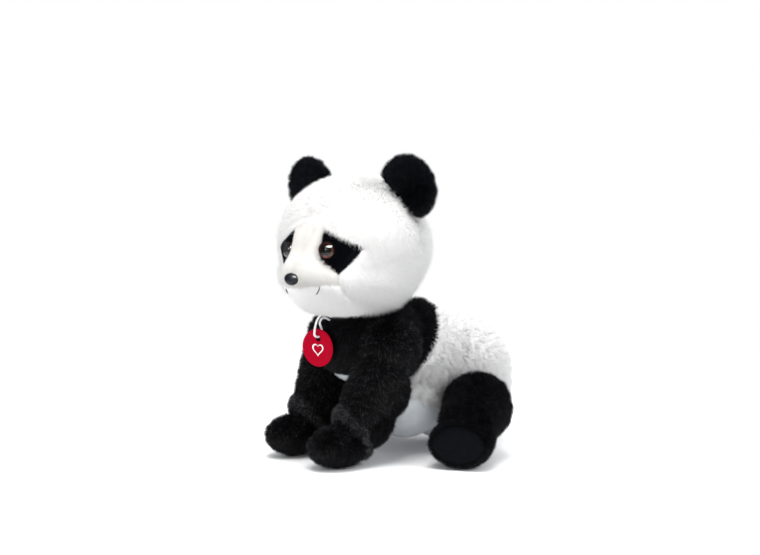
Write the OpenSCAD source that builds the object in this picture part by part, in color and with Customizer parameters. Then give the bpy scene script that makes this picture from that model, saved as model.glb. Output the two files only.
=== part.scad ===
// Seated plush panda with sewn joints, safety eyes and a round hang tag.
// Millimetres. The panda faces -Y, its own left is +X, and it sits on z = 0.

/* [Part] */
// Sub-part to build, or "all"

/* [Head] */
// Width of the head over its pile
head_width = 134; // [116:150]
// Height and depth of the head over its pile
head_height = 114; // [100:130]
// Height of the head's centre above the floor
head_z = 169; // [150:185]
// Turn of the head toward its own left at rest, degrees
head_turn = 11; // [0:20]
// Tilt of the head toward its own right at rest, degrees
head_roll = 3; // [0:6]
// Diameter of a safety eye
eye_d = 13.4; // [9:18]
// Width of the moulded nose
nose_w = 13; // [9:18]

/* [Ears] */
// Diameter of an ear disc
ear_d = 53; // [40:64]
// Thickness of an ear over its pile
ear_t = 12; // [8:16]
// Angle of an ear from the top of the head, degrees
ear_lean = 50; // [35:60]

/* [Body] */
// Width of the chest
chest_width = 92; // [80:104]
// Width of the rump
rump_width = 104; // [90:116]
// Distance from the head's centre back to the rump's centre
body_reach = 95; // [80:105]

/* [Front legs] */
// Height of the shoulder pivot
shoulder_z = 90; // [80:98]
// Diameter of the leg at the ankle
ankle_d = 38; // [30:44]
// Length of a front paw
paw_length = 58; // [48:66]

/* [Rear legs] */
// Diameter of the thigh
thigh_d = 58; // [50:66]
// Width of the sole
sole_width = 50; // [40:56]

/* [Tag] */
// Diameter of the round tag
tag_d = 30; // [24:36]
// Thickness of the tag card
tag_t = 1; // [0.6:1.6]
// Diameter of the tag's cord
cord_d = 1.8; // [1.2:2.4]

/* [Fabric] */
// Long pile with its backing
long_pile = 6; // [4:8]
// Medium black pile with its backing
black_pile = 5; // [3:7]
// Short pile with its backing
short_pile = 3.5; // [2:5]

/* [Hidden] */
$fn = 24;
$soft = false;                   // true inside a soft body's module, which is then faceted
eps = 1.2;                       // slack between a cover and its stuffing
run = 0.6;                       // clearance between bodies
centre_y = -9.4;                 // brings the middle of the outline over the origin

head_c = [0, -33, head_z];
head_r = [head_width/2, head_height/2, head_height/2];
socket_r = [head_r[0] + 2, head_r[0] + 2, head_r[2] + 2];
disc_in = [head_r[0] + 1, head_r[0] + 1, head_r[2] + 1];
disc_out = disc_in + [3, 3, 3];
neck_r = 20;                     // neck seam
jowl_c = [0, -8, -23];
jowl_r = [60, 52, 29];
muzzle_c = [0, -50, -19];
muzzle_r = [22, 19, 19];
bridge_c = [0, -43, -4];
bridge_r = [12.5, 16, 24];
brow_z = 21.5;
mouth_z = -27;                   // seam between face panel and chin panel
eye_x = 20.4;
eye_y = -50.8;
eye_z = -0.4;
eye_splay = 18;
eye_r = eye_d/2;
stem_r = 2;
washer_in = 7;                   // nose washer behind the nose's seat
nose_c = [0, -70, -21.5];
nose_r = [nose_w/2, 4.5, 4.8];
stitch_c = [16.5, -57, -30.5];

ear_c = 68;                      // ear disc's centre from the head's centre
ear_hinge = 61.5;                // ear seam from the head's centre
ear_back = 8;                    // ear seam behind the head's centre
ear_yaw = 8;                     // outward turn of an ear
ear_r = ear_d/2;

chest_c = [0, -18, 92];
chest_r = [chest_width/2, 44, 42];
loin_c = [0, 27, 75];
loin_r = [48, 48, 49];
rump_c = [0, head_c[1] + body_reach, 56];
rump_r = [rump_width/2, rump_width/2 + 1, 58];
belly_c = [0, 14, 44];
belly_r = [44, 40, 38];
yoke_floor = 68;                 // lower edge of the yoke on the chest
yoke_rake = 35;                  // lean of the yoke's back edge, degrees
belly_seam = 50;                 // belly seam's height under the shoulder
tail_c = [0, 113, 34];
tail_r = [11, 12, 8];

shoulder_c = [36, -24, shoulder_z];
shoulder_r = [23, 27, 27];
upper_c = [35, -33, 74];
upper_r = 23;
elbow_c = [34, -34, 57];
elbow_r = [21, 26, 27];
ankle_c = [31, -54, 31];
ankle_r = ankle_d/2;
calf_c = [31.5, -47, 38];
calf_r = [19.5, 22, 25];
paw_c = [30, -68, 17];
paw_r = [21, paw_length/2, 17.5];
wrist_c = [31, -58, 32];         // seam between leg and paw
wrist_tilt = -30;

hip_c = [50, 54, 42];
hip_r = 24;
thigh_c = [64, 41, 41];
thigh_r = thigh_d/2;
shin_c = [75, 24, 31];
shin_r = 26;
foot_c = [86, 8, 20];
foot_r = [sole_width/2 + 2, 30, 21];
foot_yaw = 37;                   // outward turn of the foot, degrees
foot_seam = -12;                 // seam between thigh and foot, along the foot
sole_at = 11;                    // sole seam, along the foot
sole_t = 3;

tag_turn = 18;
tag_hole = [0, -67.5, 97.4];     // hole the cord runs through
tag_drop = 7.4;                  // hole to the tag's centre
hole_r = 2.4;
// Route of the cord: down in front of the tag, through its hole and up behind it
cord_route = [[1.2, -56, 113.5], [1.2, -60, 116], [1.2, -64, 116.6], [1.2, -67.5, 114.4],
              [1.2, -70, 110.6], [1.2, -71.2, 106.8], [1, -71.6, 103.4], [0.4, -71.4, 100.6], [0.1, -69.8, 99.2],
              [0, -67.5, 98.6], [-0.1, -65.2, 99.2], [-0.4, -63.6, 100.6], [-1, -63.4, 103.4],
              [-1.2, -64.6, 106.8], [-1.2, -65.2, 109.6], [-1.2, -63.8, 112.2], [-1.2, -61, 113],
              [-1.2, -58, 112], [-1.2, -55.6, 110.6]];
cord_sides = 8;

// ---- helpers ----

// A convex piece of a soft body; the inner hull keeps its own facets.
module faceted() { if ($soft) hull() hull() children(); else children(); }

module ball(c, r) {
    faceted() translate(c) scale([r[0]/r[2], r[1]/r[2], 1]) sphere(r = r[2]);
}

// Round-ended taper from p to q.
module taper(p, q, r1, r2) {
    v = q - p;
    h = norm(v);
    a = asin((r1 - r2)/h);
    n = 8;
    translate(p) rotate([0, acos(v[2]/h), atan2(v[1], v[0])])
        rotate_extrude() polygon(concat(
            [for (i = [0:n]) let (t = -90 + (90 + a)*i/n) [r1*cos(t), r1*sin(t)]],
            [for (i = [0:n]) let (t = a + (90 - a)*i/n) [r2*cos(t), h + r2*sin(t)]]));
}

module above_floor(t = 0) {
    intersection() {
        union() { children(); }
        translate([-200, -200, t]) cube([400, 400, 400]);
    }
}

module placed() { translate([0, centre_y, 0]) children(); }
module side(s) { if (s > 0) children(); else mirror([1, 0, 0]) children(); }
module head_frame() { translate(head_c) rotate([0, 0, head_turn]) rotate([0, -head_roll, 0]) children(); }
module eye_frame(s) {
    translate([s*eye_x, eye_y, eye_z]) rotate([0, 0, s*eye_splay]) rotate([90, 0, 0]) children();
}
module ear_frame(s) {
    translate([0, ear_back, 0]) rotate([0, s*ear_lean, 0]) rotate([0, 0, s*ear_yaw]) children();
}

// ---- forms: the outer surface of each soft body, t millimetres inside it ----

module head_form(t) {
    ball([0, 0, 0], head_r - [t, t, t]);
    ball(jowl_c, jowl_r - [t, t, t]);
}

module face_form(t) {
    ball(muzzle_c, muzzle_r - [t, t, t]);
    ball(bridge_c, bridge_r - [t, t, t]);
}

module torso_form(t) {
    d = [t, t, t];
    above_floor(t) {
        ball(chest_c, chest_r - d);
        ball(loin_c, loin_r - d);
        ball(rump_c, rump_r - d);
        ball(belly_c, belly_r - d);
    }
}

module front_form(t) {
    d = [t, t, t];
    above_floor(t) {
        ball(shoulder_c, shoulder_r - d);
        faceted() taper(upper_c, ankle_c, upper_r - t, ankle_r - t);
        ball(elbow_c, elbow_r - d);
        ball(calf_c, calf_r - d);
        ball(paw_c, paw_r - d);
    }
}

module foot_ball(t) {
    translate(foot_c) rotate([0, 0, foot_yaw]) ball([0, 0, 0], foot_r - [t, t, t]);
}

module rear_form(t) {
    d = [t, t, t];
    above_floor(t) {
        ball(hip_c, hip_r*[1, 1, 1] - d);
        ball(thigh_c, thigh_r*[1, 1, 1] - d);
        ball(shin_c, shin_r*[1, 1, 1] - d);
        foot_ball(t);
    }
}

// ---- spaces kept free in the torso for the bodies that move against it ----

module torso_room() {
    $fn = 24;
    ball(head_c, socket_r);
    intersection() {
        ball(head_c, disc_out + [1, 1, 1]);
        translate([0, head_c[1], 60]) cylinder(r = neck_r + run, h = 80);
    }
    for (s = [-1, 1]) side(s) {
        ball(shoulder_c, shoulder_r + [run, run, run]);
        // swing of the front leg, seen from the side
        translate([70, 0, 0]) rotate([0, -90, 0]) linear_extrude(height = 59.2)
            polygon([[79.9, 8], [12.9, -18], [12.9, -95], [58, -95], [109.3, -43.6]]);
        ball(hip_c, (hip_r + run)*[1, 1, 1]);
        ball(thigh_c, (thigh_r + 4.6)*[1, 1, 1]);
        ball(shin_c, (shin_r + 5.6)*[1, 1, 1]);
    }
}

// ---- regions that split the torso's skin into its panels ----

module yoke_region() {
    intersection() {
        translate([-100, -150, yoke_floor]) cube([200, 300, 200]);
        translate([0, -7, 59]) rotate([-yoke_rake, 0, 0]) translate([-100, -200, -100]) cube([200, 200, 300]);
    }
}

module belly_region() {
    translate([0, 0, belly_seam]) rotate([-29, 0, 0]) translate([-100, -200, -200]) cube([200, 400, 200]);
}

module torso_skin(pile) {
    difference() {
        torso_form(0);
        torso_form(pile);
        torso_room();
    }
}

// ---- torso ----

module body_cover() {
    $soft = true;
    color([0.95, 0.94, 0.92]) placed() difference() {
        torso_skin(long_pile);
        yoke_region();
        belly_region();
    }
}

module belly_panel() {
    $soft = true;
    color([0.9, 0.9, 0.9]) placed() difference() {
        intersection() {
            torso_skin(long_pile);
            belly_region();
        }
        yoke_region();
    }
}

module shoulder_yoke() {
    $soft = true;
    color([0.06, 0.06, 0.07]) placed() difference() {
        intersection() {
            torso_skin(long_pile);
            yoke_region();
        }
        cord_tube(cord_d/2 + 0.05);
    }
}

module body_stuffing() {
    $soft = true;
    $fn = 18;
    color([0.97, 0.97, 0.95]) placed() difference() {
        torso_form(long_pile + eps);
        torso_room();
    }
}

module tail() {
    color([0.93, 0.92, 0.9]) placed() difference() {
        ball(tail_c, tail_r);
        torso_form(0);
    }
}

// ---- neck ----

module neck_layer(r_in, r_out) {
    intersection() {
        difference() {
            ball(head_c, disc_out);
            ball(head_c, disc_in);
        }
        translate([0, head_c[1], 60]) difference() {
            cylinder(r = r_out, h = 80);
            if (r_in > 0) translate([0, 0, -1]) cylinder(r = r_in, h = 82);
        }
    }
}

module neck_gather() { color([0.08, 0.08, 0.09]) placed() neck_layer(neck_r - 8, neck_r); }
module neck_disc() { color([0.9, 0.9, 0.88]) placed() neck_layer(0, neck_r - 8.2); }

// ---- head ----

module face_prism() {
    translate([0, -20, 0]) rotate([90, 0, 0]) linear_extrude(height = 60)
        polygon([[-28.5, -48], [-28.5, -19], [-14.5, -8.5], [-13.2, -3.5], [-14.5, 16.5], [0, brow_z],
                 [14.5, 16.5], [13.2, -3.5], [14.5, -8.5], [28.5, -19], [28.5, -48]]);
}

module patch_prism() {
    faceted() translate([0, -20, 0]) rotate([90, 0, 0]) linear_extrude(height = 60)
        polygon([[14.5, 16.5], [44, 1.5], [28.5, -19], [14.5, -8.5], [13.2, -3.5]]);
}

module ear_slots() {
    for (s = [-1, 1]) ear_frame(s) faceted() translate([-27, 0, ear_hinge]) rotate([0, 90, 0])
        cylinder(r = ear_t/2 + 0.5, h = 54);
}

module face_hardware_room() {
    for (s = [-1, 1]) eye_frame(s) {
        faceted() translate([0, 0, -14]) cylinder(r = stem_r + 0.2, h = 20);
        faceted() translate([0, 0, -8]) cylinder(r = 7.4, h = 8 - long_pile + 1.8);
    }
    translate([0, nose_c[1] + 3, nose_c[2]]) rotate([-90, 0, 0]) {
        faceted() translate([0, 0, -8]) cylinder(r = stem_r + 0.2, h = 22);
        faceted() translate([0, 0, washer_in - 0.8]) cylinder(r = 6.6, h = 3.2);
    }
    ball(nose_c, nose_r + [2.5, 2, 2]);
}

module stitches(g) {
    for (s = [-1, 1]) translate([s*stitch_c[0], stitch_c[1], stitch_c[2]])
        rotate([-28, 0, 0]) ball([0, 0, 0], [0.8 + g, 0.9 + g, 3.4 + g]);
}

module head_cover() {
    $soft = true;
    color([0.96, 0.95, 0.93]) placed() head_frame() difference() {
        head_form(0);
        head_form(long_pile);
        face_prism();
        patch_prism();
        mirror([1, 0, 0]) patch_prism();
        ear_slots();
        for (s = [-1, 1]) eye_frame(s) faceted() translate([0, 0, -14]) cylinder(r = eye_r + 0.6, h = 24);
    }
}

module face_skin() {
    difference() {
        union() {
            intersection() { head_form(1.5); face_prism(); }
            face_form(0);
        }
        head_form(long_pile);
        face_form(short_pile);
        stitches(0);
        for (s = [-1, 1]) eye_frame(s) faceted() translate([0, 0, -3]) cylinder(r = eye_r + 0.4, h = 12);
        translate([0, nose_c[1] + 3, nose_c[2]]) rotate([-90, 0, 0])
            faceted() translate([0, 0, -8]) cylinder(r = stem_r + 0.2, h = 21);
        ball(nose_c, nose_r + [0.35, 0.35, 0.35]);
    }
}

module below_mouth() { translate([-60, -100, mouth_z - 60]) cube([120, 100, 60]); }

module face_panel() {
    $soft = true;
    color([0.94, 0.92, 0.87]) placed() head_frame() difference() {
        face_skin();
        below_mouth();
    }
}

module chin_panel() {
    $soft = true;
    color([0.93, 0.92, 0.9]) placed() head_frame() intersection() {
        face_skin();
        below_mouth();
    }
}

module head_stuffing() {
    $soft = true;
    $fn = 18;
    color([0.97, 0.97, 0.95]) placed() head_frame() difference() {
        union() {
            head_form(long_pile + eps);
            face_form(short_pile + eps);
        }
        face_hardware_room();
        ear_slots();
    }
}

module eye_patch(s) {
    $soft = true;
    difference() {
        intersection() {
            head_form(1.5);
            side(s) patch_prism();
        }
        head_form(long_pile);
        face_form(0);
        eye_frame(s) faceted() translate([0, 0, -14]) cylinder(r = stem_r + 0.2, h = 20);
        eye_frame(s) faceted() cylinder(r = eye_r + 0.4, h = 8);
    }
}

module eye_patch_left() { color([0.05, 0.05, 0.06]) placed() head_frame() eye_patch(1); }
module eye_patch_right() { color([0.05, 0.05, 0.06]) placed() head_frame() eye_patch(-1); }

module eye_cap(s) {
    rise = 4.2;
    rho = (eye_r*eye_r + rise*rise)/(2*rise);
    eye_frame(s) intersection() {
        translate([0, 0, 1.9 + rise - rho]) sphere(r = rho);
        translate([0, 0, 1.9]) cylinder(r = eye_r + 1, h = 8);
    }
}

module eye_iris(s) {
    eye_frame(s) translate([0, 0, 1.35]) difference() {
        cylinder(r = eye_r - 0.2, h = 0.5);
        translate([0, 0, -1]) cylinder(r = 3.6, h = 3);
    }
}

module eye_back(s) {
    eye_frame(s) {
        translate([0, 0, 0.1]) cylinder(r = eye_r, h = 1.2);
        cylinder(r = 3.5, h = 1.85);
        translate([0, 0, -13]) cylinder(r = stem_r, h = 13.5);
    }
}

module eye_cap_left() { color([0.7, 0.75, 0.8]) placed() head_frame() eye_cap(1); }
module eye_cap_right() { color([0.7, 0.75, 0.8]) placed() head_frame() eye_cap(-1); }
module eye_iris_left() { color([0.4, 0.14, 0.08]) placed() head_frame() eye_iris(1); }
module eye_iris_right() { color([0.4, 0.14, 0.08]) placed() head_frame() eye_iris(-1); }
module eye_back_left() { color([0.03, 0.03, 0.03]) placed() head_frame() eye_back(1); }
module eye_back_right() { color([0.03, 0.03, 0.03]) placed() head_frame() eye_back(-1); }

module washer(r) {
    difference() {
        cylinder(r = r, h = 1.2);
        translate([0, 0, -1]) cylinder(r = stem_r + 0.05, h = 4);
    }
}

module face_washers() {
    color([0.85, 0.85, 0.85]) placed() head_frame() {
        for (s = [-1, 1]) eye_frame(s) translate([0, 0, -7]) washer(7);
        translate([0, nose_c[1] + 3, nose_c[2]]) rotate([-90, 0, 0]) translate([0, 0, washer_in]) washer(6);
    }
}

module nose() {
    color([0.05, 0.05, 0.06]) placed() head_frame() {
        ball(nose_c, nose_r);
        translate([0, nose_c[1], nose_c[2]]) rotate([-90, 0, 0]) cylinder(r = stem_r, h = 15);
    }
}

module mouth_stitches() { color([0.1, 0.09, 0.09]) placed() head_frame() stitches(-0.05); }

// ---- ears ----

module ear(s, front) {
    ear_frame(s) intersection() {
        union() {
            intersection() {
                ball([0, 0, ear_c], [ear_r, ear_t/2, ear_r]);
                translate([-50, -50, ear_hinge]) cube([100, 100, 100]);
            }
            translate([-24, 0, ear_hinge]) rotate([0, 90, 0]) cylinder(r = ear_t/2 - 0.3, h = 48);
        }
        translate([-50, front ? -50.05 : 0.05, 0]) cube([100, 50, 120]);
    }
}

module ear_front_left() { color([0.05, 0.05, 0.06]) placed() head_frame() ear(1, true); }
module ear_back_left() { color([0.08, 0.08, 0.09]) placed() head_frame() ear(1, false); }
module ear_front_right() { color([0.05, 0.05, 0.06]) placed() head_frame() ear(-1, true); }
module ear_back_right() { color([0.08, 0.08, 0.09]) placed() head_frame() ear(-1, false); }

// ---- front legs ----

module paw_region() {
    translate(wrist_c) rotate([wrist_tilt, 0, 0]) translate([-60, -100, -100]) cube([120, 200, 100]);
}

module front_skin() {
    $soft = true;
    $fn = 18;
    difference() {
        front_form(0);
        front_form(black_pile);
    }
}

module front_leg() { difference() { front_skin(); paw_region(); } }
module front_paw() { intersection() { front_skin(); paw_region(); } }
module front_stuffing() { front_form(black_pile + eps); }

module front_leg_left() { color([0.06, 0.06, 0.07]) placed() front_leg(); }
module front_paw_left() { color([0.1, 0.1, 0.11]) placed() front_paw(); }
module front_stuffing_left() { color([0.97, 0.97, 0.95]) placed() front_stuffing(); }
module front_leg_right() { color([0.06, 0.06, 0.07]) placed() side(-1) front_leg(); }
module front_paw_right() { color([0.1, 0.1, 0.11]) placed() side(-1) front_paw(); }
module front_stuffing_right() { color([0.97, 0.97, 0.95]) placed() side(-1) front_stuffing(); }

// ---- rear legs ----

// Half space on the toe side of a plane across the foot, d along it.
module toe_side(d) {
    translate(foot_c) rotate([0, 0, foot_yaw]) translate([-100, -d - 200, -100]) cube([200, 200, 200]);
}

module rear_skin() {
    $soft = true;
    $fn = 18;
    difference() {
        rear_form(0);
        rear_form(black_pile);
        toe_side(sole_at);
    }
}

module rear_leg() { difference() { rear_skin(); toe_side(foot_seam); } }
module rear_foot() { intersection() { rear_skin(); toe_side(foot_seam); } }

module heel_side(d) {
    translate(foot_c) rotate([0, 0, foot_yaw]) translate([-100, -d, -100]) cube([200, 200, 200]);
}

module sole() {
    difference() {
        above_floor() foot_ball(0);
        heel_side(sole_at);
        toe_side(sole_at + sole_t);
    }
}

module rear_stuffing() {
    $soft = true;
    $fn = 16;
    difference() {
        rear_form(black_pile + eps);
        toe_side(sole_at - eps);
    }
}

module rear_leg_left() { color([0.06, 0.06, 0.07]) placed() rear_leg(); }
module rear_foot_left() { color([0.1, 0.1, 0.11]) placed() rear_foot(); }
module sole_left() { color([0.14, 0.15, 0.18]) placed() sole(); }
module rear_stuffing_left() { color([0.97, 0.97, 0.95]) placed() rear_stuffing(); }
module rear_leg_right() { color([0.06, 0.06, 0.07]) placed() side(-1) rear_leg(); }
module rear_foot_right() { color([0.1, 0.1, 0.11]) placed() side(-1) rear_foot(); }
module sole_right() { color([0.14, 0.15, 0.18]) placed() side(-1) sole(); }
module rear_stuffing_right() { color([0.97, 0.97, 0.95]) placed() side(-1) rear_stuffing(); }

// ---- tag and cord ----

module tag_card() {
    color([0.75, 0.05, 0.12]) placed() translate(tag_hole) rotate([0, 0, tag_turn]) rotate([90, 0, 0])
        difference() {
            translate([0, -tag_drop, -tag_t/2]) cylinder(r = tag_d/2, h = tag_t);
            translate([0, 0, -2]) cylinder(r = hole_r, h = 4);
        }
}

function unit(v) = v/norm(v);
function heading(p, i) = unit(p[min(i + 1, len(p) - 1)] - p[max(i - 1, 0)]);
function ring(p, i, r) = let (t = heading(p, i), a = unit(cross(t, [1, 0, 0])), b = cross(t, a))
    [for (k = [0:cord_sides - 1]) p[i] + r*(cos(360*k/cord_sides)*a + sin(360*k/cord_sides)*b)];

module cord_tube(r) {
    n = len(cord_route);
    m = cord_sides;
    polyhedron(
        points = [for (i = [0:n - 1]) each ring(cord_route, i, r)],
        faces = concat(
            [[for (k = [0:m - 1]) k]],
            [for (i = [0:n - 2]) for (k = [0:m - 1])
                each [[i*m + k, (i + 1)*m + k, (i + 1)*m + (k + 1)%m],
                      [i*m + k, (i + 1)*m + (k + 1)%m, i*m + (k + 1)%m]]],
            [[for (k = [m - 1:-1:0]) (n - 1)*m + k]]));
}

module tag_cord() { color([0.92, 0.92, 0.92]) placed() cord_tube(cord_d/2); }

body_cover();
belly_panel();
shoulder_yoke();
body_stuffing();
tail();
neck_gather();
neck_disc();
head_cover();
face_panel();
chin_panel();
head_stuffing();
eye_patch_left();
eye_patch_right();
eye_cap_left();
eye_cap_right();
eye_iris_left();
eye_iris_right();
eye_back_left();
eye_back_right();
face_washers();
nose();
mouth_stitches();
ear_front_left();
ear_back_left();
ear_front_right();
ear_back_right();
front_leg_left();
front_paw_left();
front_stuffing_left();
front_leg_right();
front_paw_right();
front_stuffing_right();
rear_leg_left();
rear_foot_left();
sole_left();
rear_stuffing_left();
rear_leg_right();
rear_foot_right();
sole_right();
rear_stuffing_right();
tag_card();
tag_cord();
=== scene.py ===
"""Seated plush panda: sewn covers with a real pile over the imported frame."""
import math

import bmesh
import bpy
import numpy as np
from mathutils import Matrix, Vector


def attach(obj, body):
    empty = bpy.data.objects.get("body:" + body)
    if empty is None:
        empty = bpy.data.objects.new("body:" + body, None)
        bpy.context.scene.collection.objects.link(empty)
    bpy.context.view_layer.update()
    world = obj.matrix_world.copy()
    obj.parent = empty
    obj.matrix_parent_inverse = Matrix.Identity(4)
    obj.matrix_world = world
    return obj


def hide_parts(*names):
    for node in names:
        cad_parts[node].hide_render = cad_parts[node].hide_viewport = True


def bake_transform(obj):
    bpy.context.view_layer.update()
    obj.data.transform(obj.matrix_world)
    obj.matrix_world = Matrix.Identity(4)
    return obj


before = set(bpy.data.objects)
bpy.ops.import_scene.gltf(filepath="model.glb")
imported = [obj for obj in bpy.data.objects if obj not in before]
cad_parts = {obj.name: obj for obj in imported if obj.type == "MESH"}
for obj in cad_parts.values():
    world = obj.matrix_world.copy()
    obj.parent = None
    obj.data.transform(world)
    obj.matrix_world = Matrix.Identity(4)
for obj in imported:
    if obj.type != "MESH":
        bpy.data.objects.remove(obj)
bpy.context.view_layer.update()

SIDES = ((1, "left"), (-1, "right"))

# ---- shared measures, millimetres, as in the CAD ----
CY = -9.4                                # the CAD's shift onto the origin
TURN = math.radians(11)                  # the head's turn at rest
T = np.array([0, CY, 0])
HEAD = np.array([0.0, -33.0 + CY, 169.0])
HEAD_BALL = (HEAD, (61, 61, 54))         # under the head no pile grows
CHEST, LOIN, RUMP = T + (0, -18, 92), T + (0, 27, 75), T + (0, 62, 56)
FLOOR = 0.35                             # lowest fibre tip
LONG, BLACK, SHORT = 5.0, 4.0, 2.6       # skin under the pile's outer surface


def rot_z(a):
    c, s = math.cos(a), math.sin(a)
    return np.array([[c, -s, 0], [s, c, 0], [0, 0, 1.0]])


def rot_y(a):
    c, s = math.cos(a), math.sin(a)
    return np.array([[c, 0, s], [0, 1, 0], [-s, 0, c]])


def at(s, x, y, z):
    """A point of the CAD on the panda's left (s = 1) or its mirror on the right (s = -1)."""
    return T + np.array([s * x, y, z])


def unit(v):
    return v / np.maximum(np.linalg.norm(v, axis=-1, keepdims=True), 1e-9)


HEAD_ROT = rot_z(TURN) @ rot_y(math.radians(-3))


def head_out(p):
    return np.asarray(p, float) @ HEAD_ROT.T + HEAD


def head_in(p):
    return (np.asarray(p, float) - HEAD) @ HEAD_ROT


EYE_ROT = {s: rot_z(s * math.radians(18)) @ np.array([[1, 0, 0], [0, 0, -1.0], [0, 1, 0]]) for s in (1, -1)}
EAR_ROT = {s: rot_y(s * math.radians(50)) @ rot_z(s * math.radians(8)) for s in (1, -1)}
EAR_AT = np.array([0, 8.0, 0])
EYE_AT = {s: np.array([s * 20.4, -50.8, -0.4]) for s in (1, -1)}
NOSE_AT = np.array([0, -70, -21.5])


def eye_out(s, p):
    return head_out(np.asarray(p, float) @ EYE_ROT[s].T + EYE_AT[s])


def ear_out(s, p):
    return head_out(np.asarray(p, float) @ EAR_ROT[s].T + EAR_AT)


def ear_in(s, p):
    return (head_in(p) - EAR_AT) @ EAR_ROT[s]


# ---- materials ----

def tree(name):
    m = bpy.data.materials.new(name)
    m.use_nodes = True
    return m, m.node_tree.nodes, m.node_tree.links, m.node_tree.nodes["Principled BSDF"]


def set_(bsdf, **kw):
    for k, v in kw.items():
        bsdf.inputs[k.replace("_", " ")].default_value = v


def shader(nodes, kind, **inputs):
    """A new shader node with its inputs set."""
    nd = nodes.new("ShaderNode" + kind)
    set_(nd, **inputs)
    return nd


def ramp(nodes, stops, mode="LINEAR"):
    r = nodes.new("ShaderNodeValToRGB")
    r.color_ramp.interpolation = mode
    el = r.color_ramp.elements
    el[0].position, el[0].color = stops[0][0], (*stops[0][1], 1)
    el[1].position, el[1].color = stops[-1][0], (*stops[-1][1], 1)
    for p, c in stops[1:-1]:
        e = el.new(p)
        e.color = (*c, 1)
    return r


def pile_material(name, root, tip, odd=None, odd_from=0.9, rough=0.75, spec=0.2, sheen=0.3, glow=0.0):
    """Fibres: dark at the root, light at the tip, and on a few the tip lighter still as painted sheen."""
    m, n, l, b = tree(name)
    uv = shader(n, "UVMap")
    uv.uv_map = "OFBake"
    xyz = shader(n, "SeparateXYZ")
    l.new(uv.outputs["UV"], xyz.inputs[0])
    along = ramp(n, [(0.0, root), (0.55, tuple((a + 2 * c) / 3 for a, c in zip(root, tip))), (1.0, tip)])
    l.new(xyz.outputs["Y"], along.inputs[0])
    which = ramp(n, [(0.0, (1, 1, 1)), (0.45, (0.93, 0.93, 0.93)), (0.75, (1, 1, 1))], "CONSTANT")
    l.new(xyz.outputs["X"], which.inputs[0])
    mul = shader(n, "Mix")
    mul.data_type, mul.blend_type = "RGBA", "MULTIPLY"
    mul.inputs[0].default_value = 1.0
    l.new(along.outputs[0], mul.inputs[6])
    l.new(which.outputs[0], mul.inputs[7])
    out = mul.outputs[2]
    # painted sheen: a few fibres get lighter tips, standing for brushed fibres catching the light
    if odd:
        gate = ramp(n, [(0.0, (0, 0, 0)), (odd_from, (1, 1, 1))], "CONSTANT")
        l.new(xyz.outputs["X"], gate.inputs[0])
        tips = shader(n, "Math")
        tips.operation = "MULTIPLY"
        l.new(gate.outputs[0], tips.inputs[0])
        end = shader(n, "MapRange", From_Min=0.45, From_Max=0.9)
        l.new(xyz.outputs["Y"], end.inputs["Value"])
        l.new(end.outputs[0], tips.inputs[1])
        mix = shader(n, "Mix")
        mix.data_type = "RGBA"
        l.new(tips.outputs[0], mix.inputs[0])
        l.new(out, mix.inputs[6])
        mix.inputs[7].default_value = (*odd, 1)
        out = mix.outputs[2]
    l.new(out, b.inputs["Base Color"])
    set_(b, Roughness=rough, Specular_IOR_Level=spec, Sheen_Weight=sheen, Sheen_Roughness=0.4)
    b.inputs["Sheen Tint"].default_value = (*[min(1, c * 1.1 + 0.05) for c in tip], 1)
    if glow:                             # white fibres carry light through themselves
        set_(b, Subsurface_Weight=glow, Subsurface_Scale=0.001)
        b.inputs["Subsurface Radius"].default_value = (1, 1, 1)
    return m


def mottle(n, l, b, dark, light, scale, detail, low):
    """Base colour from noise between two tones; returns the noise and the texture coordinates."""
    tc = shader(n, "TexCoord")
    noise = shader(n, "TexNoise", Scale=scale, Detail=detail)
    l.new(tc.outputs["Object"], noise.inputs["Vector"])
    r = ramp(n, [(low, dark), (1 - low, light)])
    l.new(noise.outputs["Fac"], r.inputs[0])
    l.new(r.outputs[0], b.inputs["Base Color"])
    return noise, tc


def relief(n, l, b, height, strength, depth):
    bp = shader(n, "Bump", Strength=strength, Distance=depth)
    l.new(height, bp.inputs["Height"])
    l.new(bp.outputs[0], b.inputs["Normal"])


def cloth_material(name, dark, light, scale=900, knit=1400, bump=0.35, sheen=0.25, spec=0.15):
    """Backing and short plush: mottled tone, fine knit and nap in the bump."""
    m, n, l, b = tree(name)
    tc = mottle(n, l, b, dark, light, scale, 4, 0.3)[1]
    cells = shader(n, "TexVoronoi", Scale=knit)
    l.new(tc.outputs["Object"], cells.inputs["Vector"])
    relief(n, l, b, cells.outputs["Distance"], bump, 0.0004)
    set_(b, Roughness=0.9, Specular_IOR_Level=spec, Sheen_Weight=sheen, Sheen_Roughness=0.45)
    b.inputs["Sheen Tint"].default_value = (*[min(1, c + 0.1) for c in light], 1)
    return m


def hard_material(name, dark, light, rough, scale=500, bump=0.05, spec=0.5, transmission=0.0, rough_to=None):
    """Plastic and coated card: mottled tone and roughness, faint relief."""
    m, n, l, b = tree(name)
    noise = mottle(n, l, b, dark, light, scale, 5, 0.35)[0]
    rr = shader(n, "MapRange", To_Min=rough, To_Max=rough_to or rough * 1.4)
    l.new(noise.outputs["Fac"], rr.inputs["Value"])
    l.new(rr.outputs[0], b.inputs["Roughness"])
    if bump:
        relief(n, l, b, noise.outputs["Fac"], bump, 0.0001)
    set_(b, Specular_IOR_Level=spec, Transmission_Weight=transmission)
    return m


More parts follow.
